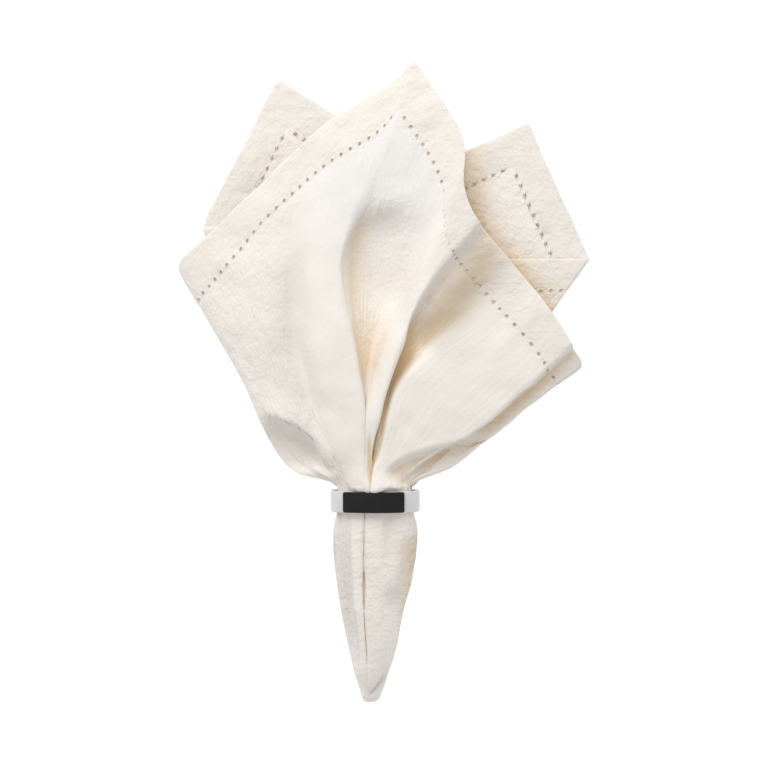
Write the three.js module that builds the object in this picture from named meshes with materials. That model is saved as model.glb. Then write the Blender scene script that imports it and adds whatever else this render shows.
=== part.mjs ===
import * as THREE from "three";

// A hemmed cotton napkin drawn through a ring, lying on a table. Millimetres, +Z up.
// The square is picked up at its middle, which becomes the tip of the tail, and its four
// corners fan out beyond the ring in a stack of pleats.
// Origin: on the table under the middle of the ring. +Y runs from the tail to the fan.

// Napkin
const NAPKIN_SIDE = 508;
const CLOTH_THICKNESS = 1;
const TAIL_LENGTH = 117;
const TAIL_SLIT_DEPTH = 0.43;
const SLIT_FULL_Y = -40;
const SLIT_HALF = 0.17;

// Ring: an oval band with a curved plate on its front
const RING_WIDTH = 51;
const RING_HEIGHT = 34;
const RING_FLAT = 0.35;
const BAND_WIDTH = 12.2;
const BAND_THICKNESS = 1.6;
const PLATE_LENGTH = 33.5;
const PLATE_WIDTH = 11.7;
const PLATE_THICKNESS = 1.5;
const PLATE_SHIFT = -0.8;
const EDGE_RADIUS = 0.5;
const PIECE_GAP = 0.3;

// How the pleats lie in the ring and beyond it
const RING_CLEARANCE = 0.7;
const THROAT_HALF = 8;
const THROAT_RISE = 2.7;
const FLARE_Y = 20;
const PLEATS_CLOSE_Y = -66;
const PLEAT_SETTLE = 0.75;
const CORNER_SIDE = 4;

const HALF_CLOTH = CLOTH_THICKNESS / 2;
const RING_MID_Z = RING_HEIGHT / 2 - RING_FLAT;
const THROAT_A = RING_WIDTH / 2 - BAND_THICKNESS - RING_CLEARANCE - HALF_CLOTH;
const THROAT_B = RING_HEIGHT / 2 - BAND_THICKNESS - RING_CLEARANCE - HALF_CLOTH;
const THROAT_FLOOR = RING_MID_Z - THROAT_B + 1.2;

// The face of the fan, left to right. part: corner of the square, floor of the slit, or soft cloth.
// hem: how far round the hem from the front corner. throat_x, throat_z: place in the ring, with
// null to follow the ring. low, mid and high: sideways place and height a quarter, half and three
// quarters of the way out. x, y, z: where the hem lies.
const FACE_COLUMNS = [
  "name", "part", "hem", "throat_x", "throat_z",
  "low_x", "low_z", "mid_x", "mid_z", "high_x", "high_z", "x", "y", "z",
];
const FACE = [
  ["left_shoulder", "soft", -150, -19.4, null, -46, 26, -68, 26, -86, 25, -97.5, 149.5, 23],
  ["left_slope", "soft", -95, -17.9, null, -41, 30, -55, 33, -58, 32, -53, 193, 28],
  ["ridge_side", "soft", -78, -17, null, -36.5, 22, -46, 22, -45.5, 27, -40.5, 204.5, 29],
  ["ridge", "soft", -60, -16, null, -28, 36, -37, 37, -34, 35.5, -28, 215.5, 30],
  ["flank_top", "soft", -30, -14.4, null, -12, 37, -24, 39, -14, 36, -2, 231.5, 29],
  ["flank", "soft", -22, -13.6, null, -8, 36.5, -18.5, 38, -8, 35.5, 5, 236, 28.5],
  ["flank_under", "soft", -13, -12.7, null, -6.6, 34.2, -14.5, 33, -3, 35, 12.5, 241, 28],
  ["front_corner", "corner", 0, -11.8, null, -5, 33.2, -9, 27, 3, 34.5, 21.2, 250.3, 27],
  ["hollow", "soft", 38, -10.8, null, -3.8, 33, 1, 22, 22, 32, 45.5, 218, 29.5],
  ["roll_foot", "soft", 60, -9.9, null, -3, 33.4, 5.5, 22.5, 29, 30, 52.5, 196, 33],
  ["waist_edge", "soft", 80, -9.2, null, -2.6, 34.3, 7, 34, 28, 35.5, 48, 180.5, 34.5],
  ["crest", "soft", 98, -8.5, null, -1.4, 35.3, 8, 38, 26, 37.5, 56.5, 161.5, 33.5],
  ["crest_edge", "soft", 102, -7.5, null, -0.4, 34.4, 10.5, 37.5, 29.8, 37, 60, 158.5, 33],
  ["crest_under", "soft", 112, -6.9, 26, -2, 25, 6.5, 22, 28, 30, 60.5, 156.5, 27],
  ["slit", "slit", 122, -5.2, 17, 1.5, 20, 10, 15, 33, 26, 65.5, 151.5, 23.5],
  ["right_rise", "soft", 143, -3.2, null, 4.2, 22, 13.5, 18, 42, 25, 79, 135.5, 25],
  ["right_lip", "soft", 150, -1.8, null, 5, 28.5, 15, 26.5, 48, 26, 83, 130.5, 25.8],
  ["right_brow", "soft", 154, -0.6, null, 6.6, 30.3, 17.5, 29.3, 52, 27, 85, 128, 26],
  ["right_crown", "soft", 168, 2.5, null, 13, 31, 31, 30, 63, 28.5, 91.5, 119.5, 26.5],
  ["right_slope", "soft", 189, 9.5, null, 34, 29.5, 60, 29, 84.5, 28, 106, 99.5, 27.5],
  ["right_crest", "soft", 199, 14.5, null, 39, 28.5, 65.5, 28.5, 89, 28, 111.2, 90.3, 27.5],
  ["right_edge", "soft", 202, 15.5, null, 41, 28, 68, 28, 91.5, 27.5, 112.6, 88.2, 26.5],
  ["right_under", "soft", 211, 17.3, null, 40.8, 22, 67, 18.5, 91, 18, 113, 86.6, 22],
  ["right_strip", "soft", 216, 19.5, null, 45, 21, 71.5, 18.5, 96, 17.8, 116.5, 83.5, 19.5],
];

// The pleats of the stack, from the right of the face round the back to its left.
// level: layers above the lowest one. throat: place in the ring as a share of its half width.
// bend: radius of the fold, with 0 for a corner of the napkin.
const PLEAT_COLUMNS = ["name", "hem", "x", "y", "z", "level", "throat", "bend", "bow", "swell"];
const PLEATS = [
  ["right_fold_1", 223, 120.5, 79.5, 15.2, 6.5, 1, 1.7, 4, 7],
  ["right_tuck_1", 329, 28, 139, 12.6, 5.5, -0.06, 1.3, 0, 0],
  ["right_fold_2", 423.7, 123.5, 139.5, 10.4, 4.5, 1, 1.3, 4, 2],
  ["right_corner", 508, 88.4, 217.6, 9.3, 4, 0.5, 0, 0, 1],
  ["right_tuck_2", 577, 25, 190, 8.2, 3.5, -0.06, 1.3, 0, 0],
  ["right_fold_3", 694, 99, 110, 6, 2.5, 1, 1.3, 2, 2],
  ["right_tuck_3", 794, 6, 144, 3.8, 1.5, 0.06, 1.3, 0, 0],
  ["right_fold_4", 880, 83, 143, 1.7, 0.5, 1, 1.3, 0, 0],
  ["back_corner", 1016, 20, 235, 0.5, 0, -0.1, 0, 0, 0],
  ["left_fold_4", 1152, -83, 143, 1.7, 0.5, -1, 1.3, 0, 0],
  ["left_tuck_3", 1238, -6, 144, 3.8, 1.5, -0.16, 1.3, 0, 0],
  ["left_fold_3", 1338, -93, 115, 6, 2.5, -1, 1.3, -6, -11],
  ["left_tuck_2", 1461, -3, 210, 8.2, 3.5, -0.42, 1.3, 0, 0],
  ["left_corner", 1524, -56.4, 243, 9.3, 4, -0.6, 0, 0, -3],
  ["left_fold_2", 1613, -100.5, 159, 10.4, 4.5, -1, 1.3, -6, -13],
  ["left_tuck_1", 1728, 14, 146, 12.6, 5.5, -0.42, 1.3, 0, 0],
  ["left_fold_1", 1856, -115, 136, 17, 6.5, -1, 2.8, -10, -19],
];

// Cross sections of the tail, tip first: place along Y, left and right sides, top and underside.
const TAIL_COLUMNS = ["y", "left", "right", "top", "under"];
const TAIL = [
  [-117, -3.6, -3.6, 6, 6],
  [-115.6, -6.2, -0.4, 10, 3],
  [-112, -8, 2.6, 13, 1.5],
  [-100, -11.6, 7.2, 17.5, 0.5],
  [-84, -15.2, 12.2, 22, 0.5],
  [-64, -19.4, 17, 26, 0.5],
  [-44, -22.6, 22, 28.7, 0.5],
  [-26, -24.4, 24.4, 30.3, 1],
  [-8, -22.7, 22.7, 30.9, 2.4],
];

// Stations of the mesh along the tail and, as shares of the way out, along the fan
const TAIL_STATIONS = [-115.6, -112, -106, -98, -88, -76, -64, -52, -40, -30, -19, -8, 8];
const FAN_STATIONS = [0.06, 0.13, 0.22, 0.33, 0.45, 0.57, 0.69, 0.8, 0.91, 1];
const NOSE = 0.76;
const ASIDE = 0.1;
const NUDGE = 0.001;

const named = (columns, rows) =>
  rows.map((row) => Object.fromEntries(columns.map((column, i) => [column, row[i]])));

// Half width of the cloth inside the ring at a height
function throatHalf(z) {
  const share = (z - RING_MID_Z) / THROAT_B;
  return THROAT_A * Math.sqrt(Math.max(0, 1 - share * share));
}

// Height of the cloth under the front of the ring
function throatTop(x) {
  const share = x / THROAT_A;
  return RING_MID_Z + THROAT_B * Math.sqrt(Math.max(0, 1 - share * share));
}

const faceRows = named(FACE_COLUMNS, FACE);
const pleatRows = named(PLEAT_COLUMNS, PLEATS);
const tailRows = named(TAIL_COLUMNS, TAIL);

const tailCurve = new THREE.CubicInterpolant(
  tailRows.map((row) => row.y),
  tailRows.flatMap((row) => [row.left, row.right, row.top, row.under]),
  TAIL_COLUMNS.length - 1,
);

function tailSection(y) {
  const [left, right, top, under] = tailCurve.evaluate(Math.min(y, -THROAT_HALF));
  return { left, right, top, under };
}

// One line of cloth from the tail's tip to the hem, through the ring.
// part: soft, slit, corner, fold, or side for the rays that stand beside a fold or a corner.
// side: the side of the tail, -1 or 1, that a pleat comes out to, or 0 on the face.
// stopsBeyond: the points that the ray passes beyond the ring, from the point where it leaves it.
class Ray {
  constructor(part, side, hem, throat, stopsBeyond) {
    Object.assign(this, { part, side, hem });
    this.across = throat.x / THROAT_A;
    this.up = (throat.z - RING_MID_Z) / THROAT_B;
    const before = new THREE.Vector3(throat.x, -THROAT_HALF, throat.z);
    const start = new THREE.Vector3(throat.x, THROAT_HALF, throat.z);
    this.stops = [before, start, ...stopsBeyond(start)];
  }

  // A ray between this one and its neighbour, a length away along the hem
  towards(other, length) {
    const half = 2 * NAPKIN_SIDE;
    const apart = THREE.MathUtils.euclideanModulo(other.hem - this.hem + half, 2 * half) - half;
    const share = length / Math.abs(apart);
    const made = Object.assign(Object.create(Ray.prototype), this, { part: "side" });
    made.across = THREE.MathUtils.lerp(this.across, other.across, share);
    made.up = THREE.MathUtils.lerp(this.up, other.up, share);
    made.stops = this.stops.map((stop, i) => stop.clone().lerp(other.stops[i], share));
    return made;
  }

  layOut() {
    this.fan = new THREE.CatmullRomCurve3(this.stops);
    this.fan.arcLengthDivisions = 100;
    const lengths = this.fan.getLengths();
    this.fanStart = lengths[this.fan.arcLengthDivisions / (this.stops.length - 1)] / lengths.at(-1);
  }

  // share: 0 where the ray leaves the ring, 1 at the hem
  fanPoint(share) {
    return this.fan.getPointAt(THREE.MathUtils.lerp(this.fanStart, 1, share));
  }

  // The place in the ring, as shares of its half width and half height, is carried down the tail.
  // Towards the tip the pleats come out to the tail's sides and the slit grows shallow.
  tailPoint(y) {
    const section = tailSection(y);
    const open = this.side
      ? THREE.MathUtils.smoothstep(y, PLEATS_CLOSE_Y, -THROAT_HALF)
      : THREE.MathUtils.smoothstep(y, -THROAT_HALF, THROAT_HALF);
    let { across, up } = this;
    if (this.side) {
      up = THREE.MathUtils.lerp(this.closedUp, up, open);
      const outline = this.side * Math.sqrt(1 - up * up);
      across = THREE.MathUtils.lerp(outline, across, open);
    } else {
      across = THREE.MathUtils.lerp(this.closedAcross, across, open);
      const depth = TAIL_SLIT_DEPTH * THREE.MathUtils.smoothstep(y, -TAIL_LENGTH, SLIT_FULL_Y);
      const top = Math.sqrt(1 - across * across) - (this.part === "slit" ? depth : 0);
      up = THREE.MathUtils.lerp(top, up, open);
    }
    return new THREE.Vector3(
      THREE.MathUtils.lerp(section.left, section.right, (1 + across) / 2),
      y,
      THREE.MathUtils.lerp(section.under, section.top, (1 + up) / 2),
    );
  }
}

// A row of the face is one ray, and a fold turns round three rays, with the fold in the middle
function faceRays(row) {
  const throat = { x: row.throat_x, z: row.throat_z ?? throatTop(row.throat_x) };
  const stopsBeyond = (start) => {
    const at = (x, share, z) => new THREE.Vector3(x, THREE.MathUtils.lerp(start.y, row.y, share), z);
    return [
      at(row.low_x, 0.25, row.low_z),
      at(row.mid_x, 0.5, row.mid_z),
      at(row.high_x, 0.75, row.high_z),
      at(row.x, 1, row.z),
    ];
  };
  return [new Ray(row.part, 0, row.hem, throat, stopsBeyond)];
}

function pleatRays(row) {
  const side = row.hem < 2 * NAPKIN_SIDE ? 1 : -1;
  const z = THROAT_FLOOR + row.level * THROAT_RISE;
  const throatBend = Math.min(row.bend, THROAT_RISE / 2);
  const x = row.throat * Math.min(throatHalf(z - throatBend), throatHalf(z + throatBend));
  const turns = row.bend ? [side, 0, -side] : [0];
  return turns.map((turn) => {
    const stopsBeyond = (start) => {
      const edge = new THREE.Vector3(row.x, row.y, row.z + turn * row.bend);
      const mid = start.clone().lerp(edge, 0.5);
      mid.x += row.bow;
      mid.z = THREE.MathUtils.lerp(start.z, edge.z, PLEAT_SETTLE);
      const flare = start.clone().lerp(mid, (FLARE_Y - start.y) / (mid.y - start.y));
      flare.x += row.swell;
      return [flare, mid, edge];
    };
    const part = turn ? "side" : row.bend ? "fold" : "corner";
    return new Ray(part, side, row.hem, { x, z: z + turn * throatBend }, stopsBeyond);
  });
}

// Round the napkin from its front corner
const hemPlace = (row) => (row.hem + 4 * NAPKIN_SIDE) % (4 * NAPKIN_SIDE);
const mainRays = [...faceRows, ...pleatRows]
  .sort((a, b) => hemPlace(a) - hemPlace(b))
  .flatMap((row) => (row.part ? faceRays(row) : pleatRays(row)));

// A corner gets a ray close by on each side, and reaches out so that it stays sharp when blended
const rays = mainRays.flatMap((ray, i) => {
  if (ray.part !== "corner") return [ray];
  const before = ray.towards(mainRays.at(i - 1), CORNER_SIDE);
  const after = ray.towards(mainRays[(i + 1) % mainRays.length], CORNER_SIDE);
  const tip = ray.stops.at(-1);
  const beside = before.stops.at(-1).clone().add(after.stops.at(-1)).multiplyScalar(0.5);
  tip.add(tip.clone().sub(beside).multiplyScalar(0.5));
  return [before, ray, after];
});
rays.forEach((ray) => ray.layOut());

// Where the pleats have closed, the rays of a side are spaced evenly up it, and the rays of the
// face evenly across it on both sides of the slit
function spread(list, name, from, to) {
  list.forEach((ray, i) => {
    ray[name] = THREE.MathUtils.lerp(from, to, i / Math.max(1, list.length - 1));
  });
}
for (const side of [-1, 1]) {
  const stack = rays.filter((ray) => ray.side === side);
  spread(stack, "closedUp", stack[0].up, stack.at(-1).up);
}
const face = rays.filter((ray) => ray.side === 0).sort((a, b) => a.across - b.across);
const slitPlace = face.findIndex((ray) => ray.part === "slit");
const slitAcross = face[slitPlace].across;
spread([face[slitPlace]], "closedAcross", slitAcross, slitAcross);
spread(face.slice(0, slitPlace), "closedAcross", face[0].across, slitAcross - SLIT_HALF);
spread(face.slice(slitPlace + 1), "closedAcross", slitAcross + SLIT_HALF, face.at(-1).across);

// Weights of the four rays round a place between two of them, a uniform cubic B-spline
function weights(u) {
  const v = 1 - u;
  return [
    (v * v * v) / 6,
    (3 * u * u * u - 6 * u * u + 4) / 6,
    (3 * v * v * v - 6 * v * v + 4) / 6,
    (u * u * u) / 6,
  ];
}

// Places round the napkin that become columns of the mesh: three round each fold, one across
// the middle of a hidden panel, and every half step over the face
function columnPlaces() {
  const places = [];
  const main = rays.map((ray, i) => i).filter((i) => rays[i].part !== "side");
  main.forEach((i, k) => {
    if (rays[i].part === "fold") places.push(i - NOSE, i, i + NOSE);
    else places.push(i);
    const next = main[k + 1] ?? main[0] + rays.length;
    places.push((i + next) / 2);
  });
  return places;
}

function blend(place, pointOf) {
  const i = Math.floor(place);
  const point = new THREE.Vector3();
  weights(place - i).forEach((weight, j) => {
    const ray = rays[(i - 1 + j + rays.length) % rays.length];
    point.addScaledVector(pointOf(ray), weight);
  });
  return point;
}

// Closed sheet: the middle surface set off both ways along its normals, joined at the hem
function sheetGeometry() {
  const places = columnPlaces();
  const stations = [
    ...TAIL_STATIONS.map((y) => [(ray) => ray.tailPoint(y), (ray) => ray.tailPoint(y + NUDGE)]),
    ...FAN_STATIONS.map((s) => [(ray) => ray.fanPoint(s), (ray) => ray.fanPoint(s - NUDGE)]),
  ];
  const tip = blend(0, (ray) => ray.tailPoint(-TAIL_LENGTH));
  const outer = [tip.clone().add(new THREE.Vector3(0, -HALF_CLOTH, 0))];
  const inner = [tip.clone().add(new THREE.Vector3(0, HALF_CLOTH, 0))];
  stations.forEach(([here, beside], j) => {
    const way = j < TAIL_STATIONS.length ? 1 : -1;
    places.forEach((place) => {
      const point = blend(place, here);
      const along = blend(place, beside).sub(point).multiplyScalar(way);
      const across = blend(place + ASIDE, here).sub(blend(place - ASIDE, here));
      const normal = across.cross(along).setLength(HALF_CLOTH);
      point.z = Math.max(point.z, HALF_CLOTH);
      outer.push(point.clone().add(normal));
      inner.push(point.clone().sub(normal));
    });
  });
  const around = places.length;
  const positions = [...outer, ...inner].flatMap((p) => [p.x, p.y, Math.max(p.z, 0)]);
  const index = [];
  const shift = outer.length;
  const id = (j, i) => 1 + j * around + ((i + around) % around);
  const quad = (a, b, c, d) => index.push(a, b, c, a, c, d);
  const last = stations.length - 1;
  for (let i = 0; i < around; i += 1) {
    index.push(0, id(0, i + 1), id(0, i));
    index.push(shift, shift + id(0, i), shift + id(0, i + 1));
    for (let j = 0; j < last; j += 1) {
      quad(id(j, i), id(j, i + 1), id(j + 1, i + 1), id(j + 1, i));
      quad(shift + id(j, i), shift + id(j + 1, i), shift + id(j + 1, i + 1), shift + id(j, i + 1));
    }
    quad(id(last, i), id(last, i + 1), shift + id(last, i + 1), shift + id(last, i));
  }
  const geometry = new THREE.BufferGeometry();
  geometry.setAttribute("position", new THREE.Float32BufferAttribute(positions, 3));
  geometry.setIndex(index);
  geometry.computeVertexNormals();
  return geometry;
}

// Point of the ring's oval, set off outwards; angle 0 is the front, which faces up
function ovalPoint(angle, offset) {
  const x = (RING_WIDTH / 2) * Math.sin(angle);
  const z = (RING_HEIGHT / 2) * Math.cos(angle);
  const normal = new THREE.Vector2(x / RING_WIDTH ** 2, z / RING_HEIGHT ** 2).normalize();
  return new THREE.Vector2(x, z + RING_MID_Z).addScaledVector(normal, offset);
}

// Outline of a strip's section with eased edges: pairs of place across the strip and height
function stripSection(width, thickness) {
  const reach = width / 2 - EDGE_RADIUS;
  const section = [];
  const arc = (y, z, from) => {
    for (let step = 0; step <= 2; step += 1) {
      const angle = from + (step * Math.PI) / 4;
      section.push([y + EDGE_RADIUS * Math.cos(angle), z + EDGE_RADIUS * Math.sin(angle)]);
    }
  };
  arc(reach, thickness - EDGE_RADIUS, 0);
  arc(-reach, thickness - EDGE_RADIUS, Math.PI / 2);
  arc(-reach, EDGE_RADIUS, Math.PI);
  arc(reach, EDGE_RADIUS, 1.5 * Math.PI);
  return section;
}

// Strip bent round the oval between two angles; a full turn closes on itself
function stripGeometry(width, thickness, lift, from, to, steps) {
  const section = stripSection(width, thickness);
  const whole = Math.abs(to - from) >= 2 * Math.PI;
  const turns = whole ? steps : steps + 1;
  const size = section.length;
  const positions = [];
  for (let k = 0; k < turns; k += 1) {
    const angle = from + ((to - from) * k) / steps;
    for (const [y, height] of section) {
      const point = ovalPoint(angle, lift + height);
      positions.push(point.x, y, Math.max(point.y, 0));
    }
  }
  const index = [];
  for (let k = 0; k < steps; k += 1) {
    const next = (k + 1) % turns;
    for (let m = 0; m < size; m += 1) {
      const n = (m + 1) % size;
      const [a, b, c, d] = [k * size + m, k * size + n, next * size + n, next * size + m];
      index.push(a, b, c, a, c, d);
    }
  }
  if (!whole) {
    for (let m = 1; m < size - 1; m += 1) {
      const last = steps * size;
      index.push(0, m + 1, m, last, last + m, last + m + 1);
    }
  }
  const geometry = new THREE.BufferGeometry();
  geometry.setAttribute("position", new THREE.Float32BufferAttribute(positions, 3));
  geometry.setIndex(index);
  geometry.computeVertexNormals();
  return geometry;
}

const napkin = new THREE.Mesh(
  sheetGeometry(),
  new THREE.MeshStandardMaterial({ color: 0xf3ece0, roughness: 0.95, metalness: 0 }),
);
napkin.name = "napkin";

const ringBand = new THREE.Mesh(
  stripGeometry(BAND_WIDTH, BAND_THICKNESS, -BAND_THICKNESS, 0, 2 * Math.PI, 72),
  new THREE.MeshStandardMaterial({ color: 0xe4e4e6, roughness: 0.4, metalness: 0 }),
);
ringBand.name = "ring_band";

const plateAngle = (x) => Math.asin(x / (RING_WIDTH / 2));
const ringPlate = new THREE.Mesh(
  stripGeometry(
    PLATE_WIDTH,
    PLATE_THICKNESS,
    PIECE_GAP,
    plateAngle(PLATE_SHIFT - PLATE_LENGTH / 2),
    plateAngle(PLATE_SHIFT + PLATE_LENGTH / 2),
    20,
  ),
  new THREE.MeshStandardMaterial({ color: 0x1c1a1b, roughness: 0.5, metalness: 0 }),
);
ringPlate.name = "ring_plate";

const napkinInRing = new THREE.Group();
napkinInRing.add(napkin, ringBand, ringPlate);

export default napkinInRing;
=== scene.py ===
import copy
import math

import bpy
import numpy as np
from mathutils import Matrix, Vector


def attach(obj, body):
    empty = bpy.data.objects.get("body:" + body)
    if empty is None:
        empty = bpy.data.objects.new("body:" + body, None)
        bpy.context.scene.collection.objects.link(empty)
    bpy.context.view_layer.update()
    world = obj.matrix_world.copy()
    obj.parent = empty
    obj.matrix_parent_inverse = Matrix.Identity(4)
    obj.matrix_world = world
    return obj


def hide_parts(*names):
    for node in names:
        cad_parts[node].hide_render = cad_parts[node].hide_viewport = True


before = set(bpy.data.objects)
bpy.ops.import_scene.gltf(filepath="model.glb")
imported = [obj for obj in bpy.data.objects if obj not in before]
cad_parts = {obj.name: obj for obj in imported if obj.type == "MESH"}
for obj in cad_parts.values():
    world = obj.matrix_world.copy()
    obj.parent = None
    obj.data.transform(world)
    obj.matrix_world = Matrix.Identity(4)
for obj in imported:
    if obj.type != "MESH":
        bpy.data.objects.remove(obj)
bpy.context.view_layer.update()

# The napkin's lie
# One square of washed ivory cotton is picked up by its middle, which becomes the tail's tip, and
# drawn through the ring, so that its corners fan out beyond it in a stack of pleats. Its lie is
# set by rays, lines of cloth from the tail's tip to the hem. Sizes here are in millimetres.
MM = 0.001
NAPKIN_SIDE = 508
ROUND_THE_HEM = 4 * NAPKIN_SIDE
CORNER_SIDE = 4
RAY_STEPS = 240
STEPS_TO_A_STOP = 60

# The throat is the oval inside the ring that the cloth fills: its half width, half height and half
# length, the height of the lowest pleat in it and the rise from one pleat to the next
RING_MID_Z = 16.65
THROAT_A = 22.7
THROAT_B = 14.2
THROAT_HALF = 8
THROAT_FLOOR = RING_MID_Z - THROAT_B + 1.2
THROAT_RISE = 2.7
FLARE_Y = 20
PLEAT_SETTLE = 0.75

# The tail narrows to a rounded tip. Its pleats close towards the tip, and a slit with two lips runs
# along its top. Places across it go from -1 at its left side to 1 at its right.
TAIL_LENGTH = 117
TIP_ROUND = 5
PLEATS_CLOSE_Y = -66
TAIL_OVERHANG = ((-0.1, 0.3), (0.93, 1.04))
TAIL_SLIT_DEPTH = 0.21
SLIT_FULL_Y = -106
SLIT_ACROSS = -0.255
SLIT_HALF = 0.045
LIP_PINCH = (-0.1, 0.55)
LIPS_OPEN = (-112, -52)

# The face of the fan, left to right. part: corner of the square, floor of the slit, lip of the slit,
# or soft cloth. hem: how far round the hem from the front corner. throat_x, throat_z: place in the
# ring, with None to follow the ring. low, mid and high: sideways place and height at those shares of
# the way out. x, y, z: where the hem lies.
FACE_STOPS = (("low", 0.25), ("mid", 0.5), ("high", 0.75))
FACE_COLUMNS = (
    "name", "part", "hem", "throat_x", "throat_z",
    "low_x", "low_z", "mid_x", "mid_z", "high_x", "high_z", "x", "y", "z",
)
FACE = (
    ("left_shoulder", "soft", -150, -19.4, None, -46, 26, -68, 26, -86, 25, -97.5, 149.5, 23),
    ("left_slope", "soft", -95, -17.9, None, -41, 30, -55, 33, -58, 32, -53, 193, 28),
    ("ridge_side", "soft", -78, -17, None, -36.5, 22, -46, 22, -45.5, 27, -40.5, 204.5, 29),
    ("ridge", "soft", -60, -16, None, -28, 36, -37, 37, -34, 35.5, -28, 215.5, 30),
    ("flank_top", "soft", -30, -9.5, None, -11.5, 37, -24, 39, -14, 36, -2, 231.5, 29),
    ("flank", "soft", -22, -6.4, None, -5.6, 36.5, -18.5, 38, -8, 35.5, 5, 236, 28.5),
    ("flank_under", "soft", -13, -6.2, None, -7.6, 29.5, -14.5, 33, -3, 35, 12.5, 241, 28),
    ("front_corner", "corner", 0, -5.9, None, -6.4, 28.5, -9, 27, 3, 34.5, 21.2, 250.3, 27),
    ("hollow", "soft", 38, -5.6, None, -5.8, 29, 1, 22, 22, 32, 45.5, 218, 29.5),
    ("roll_foot", "soft", 60, -5.3, None, -5.4, 30, 6.5, 20.5, 29, 30, 52.5, 196, 33),
    ("waist_edge", "soft", 80, -5, None, -4.4, 35, 7.5, 34, 28, 35.5, 48, 180.5, 34.5),
    ("crest", "soft", 98, -4.4, None, 0.4, 36, 11.5, 38, 27, 37.5, 56.5, 161.5, 33.5),
    ("crest_edge", "lip", 102, -3.7, None, 2.6, 35, 15, 37.5, 31, 37, 60, 158.5, 33),
    ("crest_under", "lip", 112, -4, 27, 0.4, 26, 9.5, 24, 29, 30, 60.5, 156.5, 27),
    ("slit", "slit", 122, -3.5, 28.5, 2.8, 30, 12, 25, 33, 26, 65.5, 151.5, 23.5),
    ("right_rise", "lip", 143, -3, None, 4, 28.5, 14, 24.5, 42, 25, 79, 135.5, 25),
    ("right_lip", "lip", 150, -2.4, None, 4.8, 32, 15, 32, 48, 27, 83, 130.5, 25.8),
    ("right_brow", "lip", 154, -1.4, None, 5.8, 33, 16, 33, 52, 29, 85, 128, 26),
    ("right_crown", "soft", 168, 2.5, None, 12.5, 31.7, 27, 31.5, 61, 30, 91.5, 119.5, 26.5),
    ("right_slope", "soft", 189, 9.5, None, 34, 29.5, 60, 29, 84.5, 28, 106, 99.5, 27.5),
    ("right_crest", "soft", 199, 14.5, None, 39, 28.5, 65.5, 28.5, 89, 28, 111.2, 90.3, 27.5),
    ("right_edge", "soft", 202, 15.5, None, 41, 28, 68, 28, 91.5, 27.5, 112.6, 88.2, 26.5),
    ("right_under", "soft", 211, 17.3, None, 39.5, 22, 65, 18.5, 88.5, 18, 112.4, 86.8, 22),
    ("right_strip", "soft", 216, 19.5, None, 45, 21, 71.5, 18.5, 96, 17.8, 116.5, 83.5, 19.5),
)

# The pleats of the stack, from the right of the face round the back to its left.
# level: layers above the lowest one. throat: place in the ring as a share of its half width.
# bend: radius of the fold, with 0 for a corner of the napkin. bow, swell: how far the pleat swings
# outwards halfway out and just past the ring.
PLEAT_COLUMNS = ("name", "hem", "x", "y", "z", "level", "throat", "bend", "bow", "swell")
PLEATS = (
    ("right_fold_1", 223, 121.8, 79, 15.2, 6.5, 1, 1.7, 4, 7),
    ("right_tuck_1", 329, 28, 139, 12.6, 5.5, -0.06, 1.3, 0, 0),
    ("right_fold_2", 423.7, 123.5, 139.5, 10.4, 4.5, 1, 1.3, 4, 2),
    ("right_corner", 508, 88.4, 217.6, 9.3, 4, 0.5, 0, 0, 1),
    ("right_tuck_2", 577, 25, 190, 8.2, 3.5, -0.06, 1.3, 0, 0),
    ("right_fold_3", 694, 99, 110, 6, 2.5, 1, 1.3, 2, 2),
    ("right_tuck_3", 794, 6, 144, 3.8, 1.5, 0.06, 1.3, 0, 0),
    ("right_fold_4", 880, 83, 143, 1.7, 0.5, 1, 1.3, 0, 0),
    ("back_corner", 1016, 20, 235, 0.5, 0, -0.1, 0, 0, 0),
    ("left_fold_4", 1152, -83, 143, 1.7, 0.5, -1, 1.3, 0, 0),
    ("left_tuck_3", 1238, -6, 144, 3.8, 1.5, -0.16, 1.3, 0, 0),
    ("left_fold_3", 1338, -93, 115, 6, 2.5, -1, 1.3, -6, -11),
    ("left_tuck_2", 1461, -3, 210, 8.2, 3.5, -0.42, 1.3, 0, 0),
    ("left_corner", 1524, -56.4, 243, 9.3, 4, -0.6, 0, 0, -3),
    ("left_fold_2", 1613, -100.5, 159, 10.4, 4.5, -1, 1.3, -6, -13),
    ("left_tuck_1", 1728, 14, 146, 12.6, 5.5, -0.42, 1.3, 0, 0),
    ("left_fold_1", 1856, -115, 136, 17, 6.5, -1, 2.8, -10, -19),
)

# Cross sections of the tail: place along Y, left and right sides, top and underside
TAIL = np.array((
    (-112, -8, 2.6, 14.5, 1.5),
    (-100, -11.6, 7.2, 20, 0.5),
    (-84, -15.2, 12.2, 24.5, 0.5),
    (-64, -19.4, 15.9, 28, 0.5),
    (-44, -23.2, 22, 29.8, 0.5),
    (-26, -25.2, 25.2, 30.6, 1),
    (-13, -24.6, 25.2, 30.8, 1.8),
    (-8, -23.4, 23.4, 30.9, 2.4),
    (8, -22.7, 22.7, 30.9, 2.4),
))
TIP_PLACE = np.array((-3.6, -3.6, 6, 6))


def add_object(name, data):
    """A new object in the scene, for a mesh, lamp or camera."""
    made = bpy.data.objects.new(name, data)
    bpy.context.collection.objects.link(made)
    return made


def add_mesh(name, points, faces):
    """A new mesh object in the scene, from points in millimetres."""
    mesh = bpy.data.meshes.new(name)
    mesh.from_pydata((points * MM).tolist(), [], [[int(v) for v in face] for face in faces])
    return add_object(name, mesh)


def from_front(hem):
    """A place round the hem, as a length from the front corner, below 0 to its left."""
    return (hem + ROUND_THE_HEM / 2) % ROUND_THE_HEM - ROUND_THE_HEM / 2


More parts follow.
